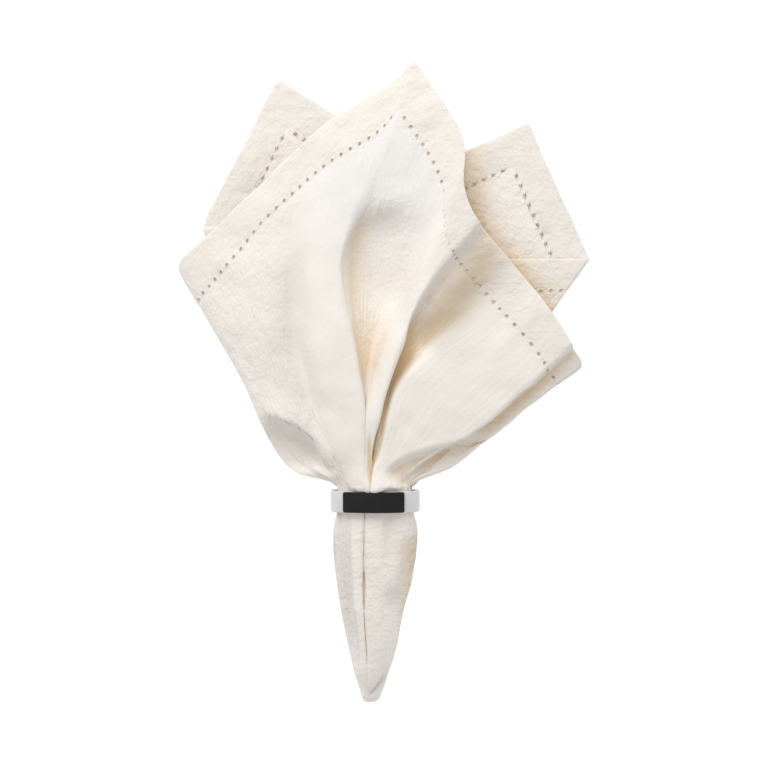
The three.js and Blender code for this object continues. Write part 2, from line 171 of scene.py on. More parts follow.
def smooth_step(x, low, high):
    """0 up to low and 1 from high on, with a smooth rise between them."""
    share = np.clip((x - low) / (high - low), 0, 1)
    return share * share * (3 - 2 * share)


def hermite(w, p1, p2, slope1, slope2):
    """Cubic from p1 to p2 with the given slopes; w runs from 0 to 1."""
    return (
        (2 * w**3 - 3 * w**2 + 1) * p1 + (w**3 - 2 * w**2 + w) * slope1
        + (3 * w**2 - 2 * w**3) * p2 + (w**3 - w**2) * slope2
    )


def smooth_line(stops, steps):
    """Even steps along a smooth line through all stops but the first, which only sets its start."""
    stops = [*stops, 2 * stops[-1] - stops[-2]]
    w = np.linspace(0, 1, STEPS_TO_A_STOP, endpoint=False)[:, None]
    runs = []
    for p0, p1, p2, p3 in zip(stops, stops[1:], stops[2:], stops[3:]):
        d0, d1, d2 = (math.sqrt(np.linalg.norm(b - a)) for a, b in ((p0, p1), (p1, p2), (p2, p3)))
        slope1 = ((p1 - p0) / d0 - (p2 - p0) / (d0 + d1) + (p2 - p1) / d1) * d1
        slope2 = ((p2 - p1) / d1 - (p3 - p1) / (d1 + d2) + (p3 - p2) / d2) * d1
        runs.append(hermite(w, p1, p2, slope1, slope2))
    line = np.vstack([*runs, stops[-2]])
    lengths = np.append(0, np.cumsum(np.linalg.norm(np.diff(line, axis=0), axis=1)))
    even = np.linspace(0, lengths[-1], steps + 1)
    return np.stack([np.interp(even, lengths, line[:, axis]) for axis in range(3)], axis=1)


def tail_section(y):
    """Left, right, top and underside of the tail at places along Y, with a rounded tip."""
    y = np.minimum(y, THROAT_HALF)
    row_y, sides = TAIL[:, 0], TAIL[:, 1:]
    slopes = np.gradient(sides, row_y, axis=0)
    i = np.clip(np.searchsorted(row_y, y) - 1, 0, len(row_y) - 2)
    step = (row_y[i + 1] - row_y[i])[:, None]
    w = np.clip((y - row_y[i])[:, None] / step, 0, 1)
    found = hermite(w, sides[i], sides[i + 1], slopes[i] * step, slopes[i + 1] * step)
    cap = np.clip((row_y[0] - y) / TIP_ROUND, 0, 1)
    return TIP_PLACE + (found - TIP_PLACE) * np.sqrt(1 - cap**2)[:, None]


class Ray:
    """One line of cloth from the tail's tip to the hem, through the ring."""

    def __init__(self, part, side, hem, throat_x, throat_z, stops_beyond):
        self.part = part
        self.side = side
        self.hem = hem
        self.across = throat_x / THROAT_A
        self.up = (throat_z - RING_MID_Z) / THROAT_B
        before = np.array((throat_x, -THROAT_HALF, throat_z))
        start = np.array((throat_x, THROAT_HALF, throat_z))
        self.stops = np.array((before, start, *stops_beyond(start)))

    def towards(self, other, length):
        """A ray between this one and its neighbour, a length away along the hem."""
        share = length / abs(from_front(other.hem - self.hem))
        made = copy.copy(self)
        made.part = "soft"
        for name in ("hem", "across", "up", "stops"):
            own = getattr(self, name)
            setattr(made, name, own + (getattr(other, name) - own) * share)
        return made

    def tail_line(self, y):
        """The place in the ring, carried down the tail while the pleats close towards the tip."""
        is_open = smooth_step(y, PLEATS_CLOSE_Y, -THROAT_HALF)
        across = np.full_like(y, self.across)
        up = np.full_like(y, self.up)
        if self.side:
            up = self.closed_up + (up - self.closed_up) * is_open
            outline = self.side * np.sqrt(1 - up**2)
            across = outline + (across - outline) * is_open
            across *= np.interp(up, *TAIL_OVERHANG)
        else:
            in_ring = smooth_step(y, -THROAT_HALF, THROAT_HALF)
            across = self.closed_across + (across - self.closed_across) * in_ring
            face_up = np.sqrt(1 - across**2)
            up = face_up + (up - face_up) * in_ring
        if self.part == "lip":
            pinch = np.interp(smooth_step(y, *LIPS_OPEN), (0, 1), LIP_PINCH)
            across += (SLIT_ACROSS - across) * pinch * (1 - in_ring)
        if self.part == "slit":
            up -= TAIL_SLIT_DEPTH * smooth_step(y, -TAIL_LENGTH, SLIT_FULL_Y) * (1 - in_ring)
        left, right, top, under = tail_section(y).T
        x = left + (right - left) * (1 + across) / 2
        z = under + (top - under) * (1 + up) / 2
        return np.stack((x, y, z), axis=1)


def face_rays(row):
    """The one ray of a row of the face."""
    x = row["throat_x"]
    z = row["throat_z"] or RING_MID_Z + THROAT_B * math.sqrt(1 - (x / THROAT_A) ** 2)

    def stops_beyond(start):
        reach = row["y"] - start[1]
        stops = [
            (row[way + "_x"], start[1] + reach * share, row[way + "_z"])
            for way, share in FACE_STOPS
        ]
        return [*stops, (row["x"], row["y"], row["z"])]

    return [Ray(row["part"], 0, row["hem"], x, z, stops_beyond)]


def pleat_rays(row):
    """The rays of a pleat: three round a fold's bend, or one at a corner of the napkin."""
    side = 1 if row["hem"] < ROUND_THE_HEM / 2 else -1
    z = THROAT_FLOOR + row["level"] * THROAT_RISE
    bend = min(row["bend"], THROAT_RISE / 2)
    shares = [(z + turn * bend - RING_MID_Z) / THROAT_B for turn in (-1, 1)]
    x = row["throat"] * THROAT_A * math.sqrt(max(0, 1 - max(share**2 for share in shares)))
    made = []
    for place in (0, 1, 2) if row["bend"] else (1,):
        turn = (1 - place) * side

        def stops_beyond(start):
            edge = np.array((row["x"], row["y"], row["z"] + turn * row["bend"]))
            mid = (start + edge) / 2
            mid[0] += row["bow"]
            mid[2] = start[2] + (edge[2] - start[2]) * PLEAT_SETTLE
            flare = start + (mid - start) * (FLARE_Y - start[1]) / (mid[1] - start[1])
            flare[0] += row["swell"]
            return [flare, mid, edge]

        hem = row["hem"] + (place - 1) * row["bend"]
        part = "fold" if row["bend"] else "corner"
        made.append(Ray(part, side, hem, x, z + turn * bend, stops_beyond))
    return made


named_rows = [dict(zip(FACE_COLUMNS, row)) for row in FACE]
named_rows += [dict(zip(PLEAT_COLUMNS, row)) for row in PLEATS]
named_rows.sort(key=lambda row: row["hem"] % ROUND_THE_HEM)
rays = []
for row in named_rows:
    rays += face_rays(row) if "part" in row else pleat_rays(row)

# A corner of the square gets a ray close by on each side, which keeps the hem pointed there
for corner in [ray for ray in rays if ray.part == "corner"]:
    i = rays.index(corner)
    before, after = (corner.towards(rays[(i + step) % len(rays)], CORNER_SIDE) for step in (-1, 1))
    corner.stops[-1] += (2 * corner.stops[-1] - before.stops[-1] - after.stops[-1]) / 4
    rays[i:i + 1] = [before, corner, after]
for side in (-1, 1):
    stack = [ray for ray in rays if ray.side == side]
    for i, ray in enumerate(stack):
        ray.closed_up = stack[0].up + (stack[-1].up - stack[0].up) * i / (len(stack) - 1)

# Down the tail the rays of the face are spaced evenly on both sides of its slit
face = [ray for ray in rays if ray.side == 0]
face.sort(key=lambda ray: from_front(ray.hem))
slit_place = [ray.part for ray in face].index("slit")
face[slit_place].closed_across = SLIT_ACROSS
for group, start, end in (
    (face[:slit_place], face[0].across, SLIT_ACROSS - SLIT_HALF),
    (face[slit_place + 1:], SLIT_ACROSS + SLIT_HALF, face[-1].across),
):
    for ray, across in zip(group, np.linspace(start, end, len(group))):
        ray.closed_across = across

fan_lines = np.stack([smooth_line(ray.stops, RAY_STEPS) for ray in rays])


def weights(places):
    """The four rays round each place between two rays, and their shares, as a smooth blend."""
    i = np.floor(places).astype(int)
    u = places - i
    v = 1 - u
    shares = np.stack((v**3, 3 * u**3 - 6 * u**2 + 4, 3 * v**3 - 6 * v**2 + 4, u**3), axis=-1) / 6
    return i[..., None] + np.arange(-1, 3), shares


def hem_of(places):
    """How far round the hem each place between the rays lies."""
    near, shares = weights(places)
    turns = np.floor_divide(near, len(rays))
    ray_hems = np.array([ray.hem for ray in rays])
    ray_hems = ray_hems + ROUND_THE_HEM * (np.arange(len(rays)) > len(rays) / 2) * (ray_hems < 0)
    hems = ray_hems[near % len(rays)]
    return ((hems + turns * ROUND_THE_HEM) * shares).sum(axis=-1)


# The napkin's cloth
# The square is turned over in a wide hem all round, with a row of drawn-thread holes at the hem's
# inner edge. The mesh is worked in the flat square: columns run out from its middle to places round
# the hem, and rows lie at set distances from the middle or the edge, closer at the tip and the hem.
HEM_WIDTH = 20
HOLES_A_SIDE = 80
HOLE_RADIUS = 0.8
HOLE_UNEVEN = (0.8, 1.15)
HOLE_RAGGED = (0.85, 1.1)
HOLE_SEED = 7
PINCHED_HOLES = (58, 88)
PINCHED_SHARE = 0.3
HOLE_SIDES = 8
HOLE_FLOOR = 0.1
CLOTH_THICKNESS = 0.5
HEM_THICKNESS = 1.0
HEM_STEP = (19, 20)
RIM_WIDTH = 0.5
RIM_SHARE = 0.6
RING_EXIT = TAIL_LENGTH + THROAT_HALF
COLUMNS_A_HOLE = 4
FOLD_COLUMNS = (-2.6, -1.3, 0, 1.3, 2.6)
COLUMN_GAP = 1.3
FINE_FACE = (-60, 215)
TAIL_STRIDE = 4
SPARE_FROM = 100
PLACE_STEP = 0.01
TAIL_ROWS = np.append((1, 2, 3.5, 5, 6.5, 8, 9.5, 11, 12.5, 14, 16), np.linspace(19, RING_EXIT, 22))
FAN_STEPS = np.linspace(0, 1, 43)[1:]
FAN_ROWS = FAN_STEPS * (0.55 + 0.45 * FAN_STEPS)
INNER_ROW = 23.5
HEM_ROWS = (21.7, HEM_WIDTH, 18.3, 15.5, 11.5, 7, 3, 1, 0)
HOLE_ROW = HEM_ROWS.index(HEM_WIDTH)
FACE_HEMS = (-165, 225)
FOLD_ROUND = {"right_fold_1": 8, "left_fold_1": 8, "left_fold_2": 5}
FOLD_ROUND_LENGTH = 11
FOLD_ROUND_POWER = 6


def column_hems():
    """Places round the hem that become columns, and which of them carry a hole."""
    folds = [row["hem"] for row in named_rows if row.get("bend")]
    at_folds = np.add.outer(folds, FOLD_COLUMNS).ravel()
    gap = NAPKIN_SIDE / HOLES_A_SIDE / COLUMNS_A_HOLE
    steps_a_side = HOLES_A_SIDE * COLUMNS_A_HOLE
    steps = np.arange(4 * steps_a_side)
    on_face = from_front(steps * gap)
    fine = (on_face > FINE_FACE[0]) & (on_face < FINE_FACE[1])
    steps = steps[fine | (steps % 2 == 0)]
    clear = np.abs(steps[:, None] * gap - at_folds).min(axis=1) > COLUMN_GAP
    steps = steps[clear]
    hems = np.append(at_folds, steps * gap)
    at_hole = (steps % COLUMNS_A_HOLE == 0) & (steps % steps_a_side > 0)
    holed = np.append(np.zeros(len(at_folds), bool), at_hole)
    order = np.argsort(hems)
    hems, holed = hems[order], holed[order]
    # A few columns go, so that the tail's wider columns come out even
    spare = np.flatnonzero(~holed)[SPARE_FROM:SPARE_FROM + 2 * (len(hems) % TAIL_STRIDE):2]
    return np.delete(hems, spare), np.delete(holed, spare)


def flat_direction(hems):
    """Point of the square's edge at a place round the hem, from the square's middle."""
    corners = np.array(((1, 1), (1, -1), (-1, -1), (-1, 1), (1, 1))) * NAPKIN_SIDE / 2
    side, along = np.divmod(hems / NAPKIN_SIDE, 1)
    first = corners[side.astype(int)]
    return first + (corners[side.astype(int) + 1] - first) * along[:, None]


hems, holed = column_hems()
columns = len(hems)
place_table = np.arange(0, len(rays) + 1, PLACE_STEP) + 1
hem_table = hem_of(place_table)
places = np.interp(hems + ROUND_THE_HEM * (hems < hem_table[0]), hem_table, place_table)
edge_points = flat_direction(hems)
reach = np.linalg.norm(edge_points, axis=1)
signed_hems = from_front(hems)


def share_at(from_edge):
    """Share of the way from the ring to the hem, at a distance from the square's edge."""
    radius = reach * (1 - from_edge / (NAPKIN_SIDE / 2))
    return (radius - RING_EXIT) / (reach - RING_EXIT)


near, blend_shares = weights(places)
near %= len(rays)

# The hem rounds off at the folds where it comes out to the outline
rounding = np.zeros(columns)
for row in named_rows:
    to_fold = np.clip(np.abs(hems - row["hem"]) / FOLD_ROUND_LENGTH, 0, 1)
    arc = 1 - np.sqrt(1 - (1 - to_fold) ** 2)
    rounding += FOLD_ROUND.get(row["name"], 0) * arc / (reach - RING_EXIT)
tail_lines = np.stack([ray.tail_line(TAIL_ROWS - TAIL_LENGTH) for ray in rays])
tail_points = np.einsum("cj,cjrx->rcx", blend_shares, tail_lines[near])
tail_flat = TAIL_ROWS[:, None] / reach
fan_shares = np.vstack(
    [FAN_ROWS[:, None] * share_at(INNER_ROW), [share_at(distance) for distance in HEM_ROWS]]
)
ray_steps = fan_shares * (1 - rounding * fan_shares**FOLD_ROUND_POWER) * RAY_STEPS
ray_steps = np.clip(ray_steps, 0, RAY_STEPS - 1e-6)
lower = ray_steps.astype(int)
part_way = (ray_steps - lower)[..., None, None]
on_rays = fan_lines[near[None], lower[..., None]] * (1 - part_way)
on_rays += fan_lines[near[None], lower[..., None] + 1] * part_way
fan_points = np.einsum("cj,rcjx->rcx", blend_shares, on_rays)
fan_flat = (RING_EXIT + fan_shares * (reach - RING_EXIT)) / reach
tip = np.array((TIP_PLACE[0], -TAIL_LENGTH, TIP_PLACE[2]))

# Vertices row by row: the tip, some columns of the tail, and every column of the fan
points = np.vstack([tip, tail_points[:, ::TAIL_STRIDE].reshape(-1, 3), fan_points.reshape(-1, 3)])
flat = np.vstack([
    np.zeros((1, 2)),
    (tail_flat[:, ::TAIL_STRIDE, None] * edge_points[None, ::TAIL_STRIDE]).reshape(-1, 2),
    (fan_flat[..., None] * edge_points[None]).reshape(-1, 2),
])
hem_at = np.concatenate([
    (0,), np.tile(signed_hems[::TAIL_STRIDE], len(TAIL_ROWS)), np.tile(signed_hems, len(fan_shares)),
])
tail_ids = 1 + np.arange(len(TAIL_ROWS) * columns // TAIL_STRIDE).reshape(len(TAIL_ROWS), -1)
fan_ids = 1 + tail_ids.size + np.arange(fan_shares.size).reshape(fan_shares.shape)
faces = []


def band_faces(low, high):
    """Quads between two rings of as many vertices."""
    low_next, high_next = np.roll(low, -1), np.roll(high, -1)
    return np.stack((low, low_next, high_next, high), axis=1).tolist()


tip_ring = tail_ids[0]
faces += [[0, b, a] for a, b in zip(tip_ring, np.roll(tip_ring, -1))]
for low, high in zip(tail_ids, tail_ids[1:]):
    faces += band_faces(low, high)
for i, (a, b) in enumerate(zip(tail_ids[-1], np.roll(tail_ids[-1], -1))):
    run = fan_ids[0, np.arange(TAIL_STRIDE * i, TAIL_STRIDE * (i + 1) + 1) % columns]
    half_run = TAIL_STRIDE // 2
    faces += [[a, run[k + 1], run[k]] for k in range(half_run)]
    faces.append([a, b, run[half_run]])
    faces += [[b, run[k + 1], run[k]] for k in range(half_run, TAIL_STRIDE)]
hole_row = len(FAN_ROWS) + HOLE_ROW
for r, (low, high) in enumerate(zip(fan_ids, fan_ids[1:])):
    quads = band_faces(low, high)
    if r in (hole_row - 1, hole_row):
        quads = [q for c, q in enumerate(quads) if not (holed[c] or holed[(c + 1) % columns])]
    faces += quads

# Each hole is a ring of vertices in the four quads round it, a little uneven, and pinched shut
# where the cloth is pulled tight along the hem
chance = np.random.default_rng(HOLE_SEED)
hole_rings = []
hole_points = []
hole_flat = []
block_turn = ((1, 0), (1, 1), (0, 1), (-1, 1), (-1, 0), (-1, -1), (0, -1), (1, -1))
next_id = len(points)
for c in np.flatnonzero(holed):
    around = [(c + dc) % columns for dc in (-1, 0, 1)]
    block = fan_points[hole_row - 1:hole_row + 2][:, around]
    block_flat = fan_flat[hole_row - 1:hole_row + 2][:, around][..., None] * edge_points[None, around]
    outer = [fan_ids[hole_row + dr, (c + dc) % columns] for dc, dr in block_turn]
    radius = HOLE_RADIUS * chance.uniform(*HOLE_UNEVEN)
    if PINCHED_HOLES[0] < hems[c] < PINCHED_HOLES[1]:
        radius *= PINCHED_SHARE
    wide = np.linalg.norm(block_flat[1, 2] - block_flat[1, 0]) / 2
    tall = np.linalg.norm(block_flat[2, 1] - block_flat[0, 1]) / 2
    for angle in np.arange(HOLE_SIDES) * 2 * math.pi / HOLE_SIDES:
        to_side = radius * chance.uniform(*HOLE_RAGGED) * math.cos(angle) / wide
        to_row = radius * chance.uniform(*HOLE_RAGGED) * math.sin(angle) / tall
        side_c = 2 if to_side > 0 else 0
        side_r = 2 if to_row > 0 else 0
        a, b = abs(to_side), abs(to_row)
        for source, kept in ((block, hole_points), (block_flat, hole_flat)):
            kept.append(
                source[1, 1] * (1 - a) * (1 - b) + source[1, side_c] * a * (1 - b)
                + source[side_r, 1] * (1 - a) * b + source[side_r, side_c] * a * b
            )
    ring = list(range(next_id, next_id + HOLE_SIDES))
    next_id += HOLE_SIDES
    hole_rings.append(ring)
    for k, n in zip(range(HOLE_SIDES), [*range(1, HOLE_SIDES), 0]):
        faces.append([ring[k], outer[k], outer[n], ring[n]])
points = np.vstack([points, hole_points])
flat = np.vstack([flat, hole_flat])
hem_at = np.append(hem_at, np.repeat(signed_hems[holed], HOLE_SIDES))

# The vertex at each hole's middle is dropped
kept = np.ones(len(points), bool)
kept[fan_ids[hole_row, holed]] = False
new_ids = np.cumsum(kept) - 1
points, flat, hem_at = points[kept], flat[kept], hem_at[kept]
faces = [new_ids[face].tolist() for face in faces]
hole_rings = [new_ids[ring].tolist() for ring in hole_rings]
rim = new_ids[fan_ids[-1]]
from_edge = NAPKIN_SIDE / 2 - np.abs(flat).max(axis=1)
from_middle = np.linalg.norm(flat, axis=1)


def vertex_normals(points, faces):
    """The way the cloth faces at each vertex."""
    normals = np.zeros_like(points)
    for size in (3, 4):
        ids = np.array([face for face in faces if len(face) == size])
        across = points[ids[:, -1]] - points[ids[:, 1]]
        along = points[ids[:, 2]] - points[ids[:, 0]]
        face_normals = np.cross(along, across)
        for corner in range(size):
            np.add.at(normals, ids[:, corner], face_normals)
    return normals / np.linalg.norm(normals, axis=1, keepdims=True)


# Creases, each along three points of the plan. height: below 0 for a trough.
# left, right: how far it spreads to each side of the way it runs; where left is 0, the cloth turns
# down at the line and slopes away on its right.
CREASE_COLUMNS = ("name", "height", "left", "right", "start", "middle", "end")
CREASE_STEPS = 41
DENT_LINE = ((-66, 49), (-40, 41.5), (-27, 19))
FACE_CREASES = (
    ("dent_brow", 5, 11, 2, *DENT_LINE),
    ("left_lobe", 2.5, 6, 6, (-52, 27), (-37, 17), (-23, 10)),
    ("right_turn", -4.5, 0, 7, (4, 14.5), (22, 28), (66, 37)),
    ("right_lobe", 1, 7, 7, (12, 9), (36, 20), (58, 36)),
    ("spoon", -3.2, 18, 19, (9, 166), (6, 140), (-3, 98)),
    ("spoon_rim", -3.2, 0, 9, (-15, 106), (-14, 152), (17, 169)),
)
LEFT_DENT = (("left_dent", -10, 0, 13, *DENT_LINE),)
DENT_HEMS = (-304, -240, -176)
DENT_SHARES = (0, 0.8, 1)
TAIL_CREASES = (
    ("left_facet", -3, 0, 7, (-13.5, -4), (-13, -45), (-9, -88)),
    ("wedge", -2.2, 4, 2, (7, -6), (6, -18), (9, -36)),
    ("right_facet", -3, 2, 4, (20, -8), (19, -35), (15, -58)),
    ("hollow", -2.8, 6, 5, (9, -48), (10, -56), (7, -64)),
    ("tip_tuck", -1.6, 1.2, 2.5, (6.5, -97), (1.5, -106), (-4.4, -112.5)),
)
TAIL_TOP = (0.1, 0.7)


def crease_height(plan, table):
    """Sum of a table's creases at points of the plan."""
    total = np.zeros(len(plan))
    for row in (dict(zip(CREASE_COLUMNS, row)) for row in table):
        way = np.linspace(0, 1, CREASE_STEPS)[:, None]
        start, middle, end = (np.array(row[name]) for name in ("start", "middle", "end"))
        line = start * (1 - way) ** 2 + (4 * middle - start - end) * way * (1 - way) + end * way**2
        away = plan[:, None] - line[None]
        nearest = np.linalg.norm(away, axis=2).argmin(axis=1)
        away = away[np.arange(len(plan)), nearest]
        heading = np.gradient(line, axis=0)[nearest]
        on_left = heading[:, 0] * away[:, 1] - heading[:, 1] * away[:, 0] > 0
        spread = np.where(on_left, row["left"], row["right"])
        fade = 1 - np.abs(2 * way[nearest, 0] - 1) ** 4
        apart = np.linalg.norm(away, axis=1) / np.maximum(spread, 1e-6)
        shelf = np.where(apart < 1, apart * np.exp(1 - apart), np.exp(-((apart - 1) / 2) ** 2))
        profile = np.exp(-apart**2) if row["left"] else ~on_left * shelf
        total += row["height"] * fade * profile
    return total


# Rumples of washed cloth, as height, size and seed. The gathers run out from the ring and fade, and
# the cloth drifts sideways a little once it is clear of the ring.
RUMPLES = ((0.8, 17, 1), (0.5, 9, 2))
GATHERS = (0.4, 7, 4)
GATHER_STRETCH = 8
GATHER_PAST_RING = 10
GATHER_FADE = 18
DRIFTS = ((0.7, 23, 5), (0.7, 23, 6))
DRIFT_PAST_RING = 40
OPEN_CORNER = 80
OPEN_LOOSENESS = 0.7
STACK_LOOSENESS = 0.15
LATTICE = 64


def rumple(places, size, seed):
    """Smooth random bumps between -1 and 1, each about size across."""
    lattice = np.random.default_rng(seed).uniform(-1, 1, (LATTICE, LATTICE))
    cell = np.floor(places / size).astype(int)
    w = places / size - cell
    w = w * w * (3 - 2 * w)
    a, b, c, d = (
        lattice[(cell[:, 0] + i) % LATTICE, (cell[:, 1] + j) % LATTICE] for i in (0, 1) for j in (0, 1)
    )
    return (a * (1 - w[:, 1]) + b * w[:, 1]) * (1 - w[:, 0]) + (c * (1 - w[:, 1]) + d * w[:, 1]) * w[:, 0]


# Where the cloth lies open: the face and the two side corners
on_face = (hem_at > FACE_HEMS[0]) & (hem_at < FACE_HEMS[1])
in_tail = from_middle < RING_EXIT
in_fan = ~in_tail
open_corners = np.abs(np.abs(hem_at) - NAPKIN_SIDE) < OPEN_CORNER
looseness = np.where(on_face, 1, np.where(open_corners & in_fan, OPEN_LOOSENESS, STACK_LOOSENESS))
plan = points[:, :2]
normals = vertex_normals(points, faces)
raised = np.zeros(len(points))
face_fan = np.flatnonzero(on_face & in_fan)
raised[face_fan] += crease_height(plan[face_fan], FACE_CREASES)
tail_top = np.flatnonzero(in_tail & (normals[:, 2] > TAIL_TOP[0]))
facing_up = smooth_step(normals[tail_top, 2], *TAIL_TOP)
raised[tail_top] += crease_height(plan[tail_top], TAIL_CREASES) * facing_up
raised += looseness * sum(height * rumple(plan, size, seed) for height, size, seed in RUMPLES)
height, size, seed = GATHERS
gathers = rumple(np.stack((hem_at, from_middle / GATHER_STRETCH), axis=1), size, seed)
gather_fade = np.exp(-np.abs(from_middle - RING_EXIT - GATHER_PAST_RING) / GATHER_FADE)
raised += looseness * height * gathers * gather_fade
points = points + normals * raised[:, None]

# The dent at the lower left presses the face and the layer under it down together
dented = np.flatnonzero((hem_at > DENT_HEMS[0]) & (hem_at < 0) & in_fan)
dent_share = np.interp(hem_at[dented], DENT_HEMS, DENT_SHARES)
points[dented, 2] += crease_height(plan[dented], LEFT_DENT) * dent_share
clear_of_ring = smooth_step(from_middle, RING_EXIT, RING_EXIT + DRIFT_PAST_RING)
for axis, (height, size, seed) in enumerate(DRIFTS):
    points[:, axis] += height * looseness * rumple(plan, size, seed) * clear_of_ring

# The face puffs up as it leaves the ring and laps a little over the plate's edge, not quite evenly
LAP = np.array((0, -4.6, 5))
LAP_START = 3
LAP_WIDTH = 14
LAP_MIDDLE_X = -0.8
LAP_ENDS = (-18, -12)
LAP_SHARE = 0.8
LAP_RUMPLE = (0.35, 9, 8)
past_ring = np.clip((from_middle - RING_EXIT + LAP_START) / LAP_WIDTH, 0, 1)
along_plate = smooth_step(-np.abs(plan[:, 0] - LAP_MIDDLE_X), *LAP_ENDS)
height, size, seed = LAP_RUMPLE
lap_share = on_face * np.sin(np.pi * past_ring) ** 2 * along_plate
lap_share *= LAP_SHARE + height * rumple(plan, size, seed)
points = points + LAP * lap_share[:, None]
normals = vertex_normals(points, faces)

# Both sides of the cloth, joined round the hem; a floor closes each hole just under its top, and the
# brown there is partly the thread's colour and partly painted shade inside the hole
doubled = 1 - smooth_step(from_edge, *HEM_STEP)
half = (CLOTH_THICKNESS + (HEM_THICKNESS - CLOTH_THICKNESS) * doubled) / 2
half *= np.where(from_edge < RIM_WIDTH, RIM_SHARE, 1)
count = len(points)
all_points = np.vstack([points + normals * half[:, None], points - normals * half[:, None]])
hole_rim_ids = np.array(hole_rings).ravel()
all_points[count + hole_rim_ids] = points[hole_rim_ids] - normals[hole_rim_ids] * HOLE_FLOOR
all_points[:, 2] = np.maximum(all_points[:, 2], 0)
all_faces = faces + [[count + v for v in reversed(face)] for face in faces]
for a, b in zip(rim, np.roll(rim, -1)):
    all_faces.append([a, b, count + b, count + a])
for ring in hole_rings:
    for a, b in zip(ring, ring[1:] + ring[:1]):
        all_faces.append([b, a, count + a, count + b])
    all_faces.append([count + v for v in ring])

napkin = add_mesh("napkin_cloth", all_points, all_faces)
napkin_mesh = napkin.data
flat_map = napkin_mesh.uv_layers.new(name="flat_square")
corner_vertices = np.zeros(len(napkin_mesh.loops), np.int32)
napkin_mesh.loops.foreach_get("vertex_index", corner_vertices)
flat_share = np.vstack([flat, flat]) / NAPKIN_SIDE + 0.5
flat_map.data.foreach_set("uv", flat_share[corner_vertices].astype(np.float32).ravel())
rounded = np.ones(len(napkin_mesh.polygons), bool)
rounded[-len(hole_rings) * (HOLE_SIDES + 1):] = False
napkin_mesh.polygons.foreach_set("use_smooth", rounded)

# How deep each point lies in the folds: how much of the sky the cloth round it hides, looked up on a
# grid of heights in some directions and at some distances. It becomes painted warm tan shade in the cloth's
# colour.
CELL = 1.5
GRID_MARGIN = 40
LOOK_TURNS = 12
LOOK_OUT = (3, 5, 8, 12, 17, 23)
LOOK_LIFT = 0.8

# Light reaches over the left of the face, the right panel, the strip under it, the corners and the
# tail's sides, so the painted fold shade is lessened there and they stay paler than their depth says.
# Their places are hem lengths, X or Y.
FACE_SIDE = 240
PANEL_END = 195
STRIP_END = 300
STRIP_FADE = (-66, -52)
RIGHT_CORNER_END = 640
ROLL_EDGE_FADE = (0, 4)
LIP_EDGE_FADE = (-1, 5)
TAIL_MIDDLE_X = -3
TAIL_SIDE = (5, 10)
LEFT_FAR = (13, 20)
LEFT_PALE, LEFT_FAR_PALE = 0.85, 0.12
PANEL_PALE = 0.7
STRIP_PALE = 0.65
RIGHT_CORNER_PALE, CORNER_PALE = 0.4, 0.85
TAIL_SIDE_PALE = 0.7
# Painted warm shade on the left flank where it faces right, and on the tail's right side
LEFT_SLOPE_SHADE = 0.15
TAIL_RIGHT_SHADE = 0.3
TAIL_RIGHT_X = (7, 20)
TAIL_RIGHT_Y = (10, 28)
ROLL_EDGE_Y = (18, 58, 82, 105, 126, 159)
ROLL_EDGE_X = (-5, 1, 8.4, 18, 29.3, 58)
LIP_EDGE_Y = (9, 18.5, 35.7, 58, 72, 89, 125)
LIP_EDGE_X = (-2.4, 1.6, 3.9, 11.2, 16.2, 28, 70)

# Shade painted along the folds: name, shares of painted warm tan shade, which lightens where below 0,
# and of painted grey shade, then the creases' columns
FOLD_SHADE_TONES = (
    ("flank_side", 0.14, 0, 0.8, 14, (-6.5, 62), (-14.2, 114), (-14, 156)),
    ("roll_side", 0.11, 0, 11, 1, (-5.4, 62), (3.5, 85), (12, 108)),
    ("spoon_top", 0.13, 0, 1, 13, (-16, 142), (-4, 163), (20, 166)),
    ("valley_side", 0.28, 0.4, 9, 17, (24, 88), (51, 120), (73, 152)),
    ("valley_head", -0.18, 0, 4, 5, (13, 87), (21, 100.5), (31, 115)),
    ("valley_low", -0.2, 0, 2.5, 2.5, (-1.5, 24), (5, 46), (13, 72)),
    ("ring_wedge", 0.4, 0.12, 1.7, 1.7, (-3.2, 8.5), (-3.1, 23), (-3.4, 42)),
    ("left_tuck", 0.13, 0.18, 7, 6, (-23, 18), (-14, 15), (-4.5, 13)),
    ("right_turn", 0.22, 0, 0.8, 14, (4, 11.5), (24, 24.5), (66, 34)),
    ("right_turn_edge", 0, 0.1, 0.8, 12, (4, 13), (22, 26.5), (66, 35)),
    ("ridge_trough", 0, 0.15, 5, 11, (-41, 154), (-46.5, 86), (-27, 32)),
    ("dent", 0, 0.12, 0.8, 13, *DENT_LINE),
    ("tail_left", 0, 0.25, 0.8, 10, (-13.5, -4), (-13, -45), (-8, -92)),
    ("slit_line", 0, 0.25, 1.2, 1.2, (-6.4, -6), (-6.6, -35), (-6.3, -64)),
    ("wedge", 0, 0.12, 4, 3, (8, -8), (7.5, -18), (6, -36)),
    ("tail_hollow", 0, 0.15, 6, 6, (10, -48), (11, -56), (8, -64)),
    ("tip_fold", 0, 0.45, 1, 1, (-4.6, -113), (1.5, -106), (6.5, -97)),
    ("fold_mark", 0, 0.4, 1, 1, (-22, -7.6), (-19.9, -8.4), (-17.5, -7.8)),
)

